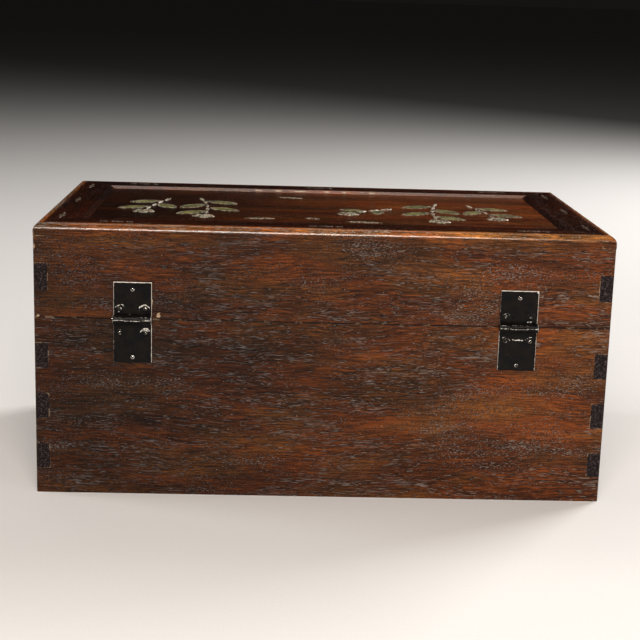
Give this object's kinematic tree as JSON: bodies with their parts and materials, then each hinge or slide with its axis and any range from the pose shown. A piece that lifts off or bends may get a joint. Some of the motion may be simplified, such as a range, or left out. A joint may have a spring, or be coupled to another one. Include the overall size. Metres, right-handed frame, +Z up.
{
  "type": "tea ceremony box",
  "caption": "Finger-jointed hardwood box with a hinged, inlaid panel lid, a divided well, drawers with ring pulls and a hasp clasp.",
  "frame": {"origin": "middle of the underside, on the surface that the box stands on", "axes": "+X along the box's length to a viewer's right who faces the drawers, +Y to the hinges, +Z up"},
  "size_m": [0.37, 0.2296, 0.1782],
  "materials": {
    "hardwood": "reddish-brown open-grained hardwood, satin wax",
    "inner_wood": "plain lighter wood, unpolished",
    "black_iron": "black japanned iron, worn at the edges",
    "nail_steel": "dull worn steel",
    "soapstone": "olive soapstone, polished",
    "pearl": "mother-of-pearl"
  },
  "bodies": {
    "body": {"body_back_board": "hardwood", "body_front_board": "hardwood", "body_left_side": "hardwood", "body_right_side": "hardwood", "bottom_board": "inner_wood", "clasp_body_nails": "nail_steel", "clasp_body_plate": "black_iron", "drawer_guide_left": "inner_wood", "drawer_guide_right": "inner_wood", "drawer_partition": "inner_wood", "hinge_body_nails": "nail_steel", "hinge_left_body_leaf": "black_iron", "hinge_left_pin": "nail_steel", "hinge_right_body_leaf": "black_iron", "hinge_right_pin": "nail_steel", "well_divider_cross": "inner_wood", "well_divider_long": "inner_wood", "well_floor": "inner_wood"},
    "lid": {"clasp_lid_nails": "nail_steel", "clasp_lid_plate": "black_iron", "clasp_pin": "nail_steel", "frame_flecks": "pearl", "hinge_left_lid_leaf": "black_iron", "hinge_lid_nails": "nail_steel", "hinge_right_lid_leaf": "black_iron", "inlay_left_flowers": "pearl", "inlay_left_leaves": "soapstone", "inlay_left_rims": "pearl", "inlay_right_flowers": "pearl", "inlay_right_leaves": "soapstone", "inlay_right_rims": "pearl", "inlay_slips": "pearl", "lid_back_wall": "hardwood", "lid_front_wall": "hardwood", "lid_left_wall": "hardwood", "lid_right_wall": "hardwood", "top_panel": "hardwood", "top_rail_back": "hardwood", "top_rail_front": "hardwood", "top_stile_left": "hardwood", "top_stile_right": "hardwood"},
    "tongue": {"clasp_tongue": "black_iron"},
    "drawer_left": {"drawer_left_back": "inner_wood", "drawer_left_bottom": "inner_wood", "drawer_left_front": "hardwood", "drawer_left_left_side": "inner_wood", "drawer_left_pull_eye": "black_iron", "drawer_left_pull_plate": "black_iron", "drawer_left_right_side": "inner_wood"},
    "ring_left": {"drawer_left_ring": "black_iron"},
    "drawer_right": {"drawer_right_back": "inner_wood", "drawer_right_bottom": "inner_wood", "drawer_right_front": "hardwood", "drawer_right_left_side": "inner_wood", "drawer_right_pull_eye": "black_iron", "drawer_right_pull_plate": "black_iron", "drawer_right_right_side": "inner_wood"},
    "ring_right": {"drawer_right_ring": "black_iron"}
  },
  "joints": [
    {"name": "lid_hinge", "type": "hinge", "parent": "body", "child": "lid", "pos_m": [0, 0.1102, 0.1176], "axis": [-1, 0, 0], "range_deg": [0, 180]},
    {"name": "clasp_swing", "type": "hinge", "parent": "lid", "child": "tongue", "pos_m": [0, -0.1102, 0.1296], "axis": [-1, 0, 0], "range_deg": [0, 165]},
    {"name": "drawer_left_slide", "type": "slide", "parent": "body", "child": "drawer_left", "axis": [0, -1, 0], "range_m": [0, 0.14]},
    {"name": "drawer_right_slide", "type": "slide", "parent": "body", "child": "drawer_right", "axis": [0, -1, 0], "range_m": [0, 0.14]},
    {"name": "ring_left_swing", "type": "hinge", "parent": "drawer_left", "child": "ring_left", "pos_m": [-0.084, -0.1116, 0.02875], "axis": [-1, 0, 0], "range_deg": [0, 170]},
    {"name": "ring_right_swing", "type": "hinge", "parent": "drawer_right", "child": "ring_right", "pos_m": [0.084, -0.1116, 0.02875], "axis": [-1, 0, 0], "range_deg": [0, 170]}
  ]
}
